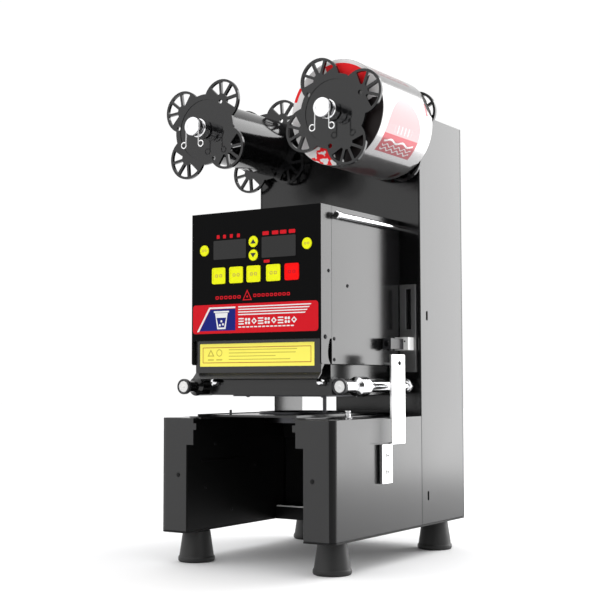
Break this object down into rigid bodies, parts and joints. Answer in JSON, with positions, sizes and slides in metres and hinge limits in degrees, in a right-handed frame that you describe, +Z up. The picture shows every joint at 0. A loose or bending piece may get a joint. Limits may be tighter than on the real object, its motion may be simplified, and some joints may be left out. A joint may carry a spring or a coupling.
{
  "type": "cup sealing machine",
  "caption": "Tabletop cup sealer: slide-out tray with cup ring, heated press head with key panel and safety flap, film guides, and a tower carrying the film and take-up reels.",
  "frame": {"origin": "centre of the bounding box in plan, at the level the feet stand on", "axes": "+Z up, +Y to the rear (towards the tower), +X to the right seen from the front"},
  "size_m": [0.339, 0.3534, 0.6399],
  "materials": {
    "casing_coat": "satin charcoal coat",
    "black_gloss": "gloss black",
    "black_steel": "black coat",
    "disc_plastic": "semi-gloss moulded",
    "plated_steel": "bright plated",
    "bare_aluminium": "machined",
    "foot_rubber": "moulded black",
    "yellow_key": "printed yellow membrane",
    "red_key": "red",
    "printed_film": "printed sealing film",
    "circuit_board": "green board",
    "motor_case": "dark motor case",
    "white_bracket": "white moulded"
  },
  "bodies": {
    "machine": {"base_shell": "casing_coat", "bottom_plate": "casing_coat", "tower_cover": "casing_coat", "tower_front": "casing_coat", "rear_cover": "casing_coat", "head_shell": "casing_coat", "front_cover": "black_gloss", "power_inlet": "black_gloss", "side_liner_left": "black_steel", "side_liner_right": "black_steel", "press_housing": "black_steel", "slotted_bracket": "black_steel", "guide_column_left": "plated_steel", "guide_column_right": "plated_steel", "tray_rail_left": "plated_steel", "tray_rail_right": "plated_steel", "upper_rod_left": "plated_steel", "upper_rod_right": "plated_steel", "side_bar": "plated_steel", "side_block": "plated_steel", "film_plate": "bare_aluminium", "foot_front_left": "foot_rubber", "foot_front_right": "foot_rubber", "foot_rear_left": "foot_rubber", "foot_rear_right": "foot_rubber", "control_board": "circuit_board", "press_motor": "motor_case", "tray_motor": "motor_case", "takeup_motor": "motor_case"},
    "safety_flap": {"safety_flap": "casing_coat"},
    "press": {"heat_plate": "bare_aluminium", "cutter_ring": "plated_steel", "press_carriage": "bare_aluminium"},
    "press_screw": {"press_screw": "plated_steel"},
    "tray": {"tray": "casing_coat", "cup_ring": "bare_aluminium"},
    "tray_pinion": {"tray_pinion": "plated_steel"},
    "takeup_reel": {"takeup_shaft": "plated_steel", "takeup_disc_front": "disc_plastic", "takeup_disc_rear": "disc_plastic", "takeup_knob": "plated_steel", "takeup_core": "black_gloss"},
    "feed_reel": {"feed_shaft": "plated_steel", "feed_disc_front": "disc_plastic", "feed_disc_rear": "disc_plastic", "feed_knob": "plated_steel", "film_roll": "printed_film"},
    "guide_roller_left": {"guide_roller_left": "black_steel"},
    "guide_roller_right": {"guide_roller_right": "plated_steel"},
    "film_sensor": {"film_sensor": "white_bracket"},
    "rocker_switch": {"rocker_switch": "red_key"},
    "key_1": {"key_1": "yellow_key"},
    "key_2": {"key_2": "yellow_key"},
    "key_3": {"key_3": "yellow_key"},
    "key_4": {"key_4": "yellow_key"},
    "key_5": {"key_5": "red_key"},
    "key_up": {"key_up": "yellow_key"},
    "key_down": {"key_down": "yellow_key"},
    "key_left": {"key_left": "yellow_key"},
    "key_right": {"key_right": "yellow_key"}
  },
  "joints": [
    {"name": "tray_slide", "type": "slide", "parent": "machine", "child": "tray", "axis": [0, -1, 0], "range_m": [0, 0.165]},
    {"name": "tray_pinion_spin", "type": "hinge", "parent": "machine", "child": "tray_pinion", "pos_m": [0.06835, -0.05565, 0.1711], "axis": [1, 0, 0], "range_deg": [0, 790]},
    {"name": "press_slide", "type": "slide", "parent": "machine", "child": "press", "axis": [0, 0, -1], "range_m": [0, 0.022]},
    {"name": "press_screw_spin", "type": "hinge", "parent": "machine", "child": "press_screw", "pos_m": [0.00785, -0.03565, 0.32], "axis": [0, 0, 1], "range_deg": [0, 800]},
    {"name": "safety_flap_hinge", "type": "hinge", "parent": "machine", "child": "safety_flap", "pos_m": [0.00785, -0.14315, 0.285], "axis": [-1, 0, 0], "range_deg": [0, 36]},
    {"name": "takeup_reel_spin", "type": "hinge", "parent": "machine", "child": "takeup_reel", "pos_m": [-0.10415, -0.03565, 0.569], "axis": [0, 1, 0], "continuous": true},
    {"name": "feed_reel_spin", "type": "hinge", "parent": "machine", "child": "feed_reel", "pos_m": [0.09865, -0.03565, 0.569], "axis": [0, 1, 0], "continuous": true},
    {"name": "guide_roller_left_spin", "type": "hinge", "parent": "machine", "child": "guide_roller_left", "pos_m": [-0.10485, -0.05665, 0.2245], "axis": [0, 1, 0], "continuous": true},
    {"name": "guide_roller_right_spin", "type": "hinge", "parent": "machine", "child": "guide_roller_right", "pos_m": [0.12055, -0.05665, 0.2245], "axis": [0, 1, 0], "continuous": true},
    {"name": "film_sensor_slide", "type": "slide", "parent": "machine", "child": "film_sensor", "axis": [0, 0, 1], "range_m": [0, 0.045]},
    {"name": "rocker_switch_hinge", "type": "hinge", "parent": "machine", "child": "rocker_switch", "pos_m": [0.07785, 0.17035, 0.114], "axis": [1, 0, 0], "range_deg": [-8, 8]},
    {"name": "key_1_press", "type": "slide", "parent": "machine", "child": "key_1", "axis": [0, 1, 0], "range_m": [0, 0.0006], "stiffness_N_per_m": 400},
    {"name": "key_2_press", "type": "slide", "parent": "machine", "child": "key_2", "axis": [0, 1, 0], "range_m": [0, 0.0006], "stiffness_N_per_m": 400},
    {"name": "key_3_press", "type": "slide", "parent": "machine", "child": "key_3", "axis": [0, 1, 0], "range_m": [0, 0.0006], "stiffness_N_per_m": 400},
    {"name": "key_4_press", "type": "slide", "parent": "machine", "child": "key_4", "axis": [0, 1, 0], "range_m": [0, 0.0006], "stiffness_N_per_m": 400},
    {"name": "key_5_press", "type": "slide", "parent": "machine", "child": "key_5", "axis": [0, 1, 0], "range_m": [0, 0.0006], "stiffness_N_per_m": 400},
    {"name": "key_up_press", "type": "slide", "parent": "machine", "child": "key_up", "axis": [0, 1, 0], "range_m": [0, 0.0006], "stiffness_N_per_m": 400},
    {"name": "key_down_press", "type": "slide", "parent": "machine", "child": "key_down", "axis": [0, 1, 0], "range_m": [0, 0.0006], "stiffness_N_per_m": 400},
    {"name": "key_left_press", "type": "slide", "parent": "machine", "child": "key_left", "axis": [0, 1, 0], "range_m": [0, 0.0006], "stiffness_N_per_m": 400},
    {"name": "key_right_press", "type": "slide", "parent": "machine", "child": "key_right", "axis": [0, 1, 0], "range_m": [0, 0.0006], "stiffness_N_per_m": 400}
  ],
  "couplings": [
    {"joint": "tray_pinion_spin", "follows": "tray_slide", "rad_per_m": 83.333},
    {"joint": "press_screw_spin", "follows": "press_slide", "rad_per_m": 628.32}
  ]
}
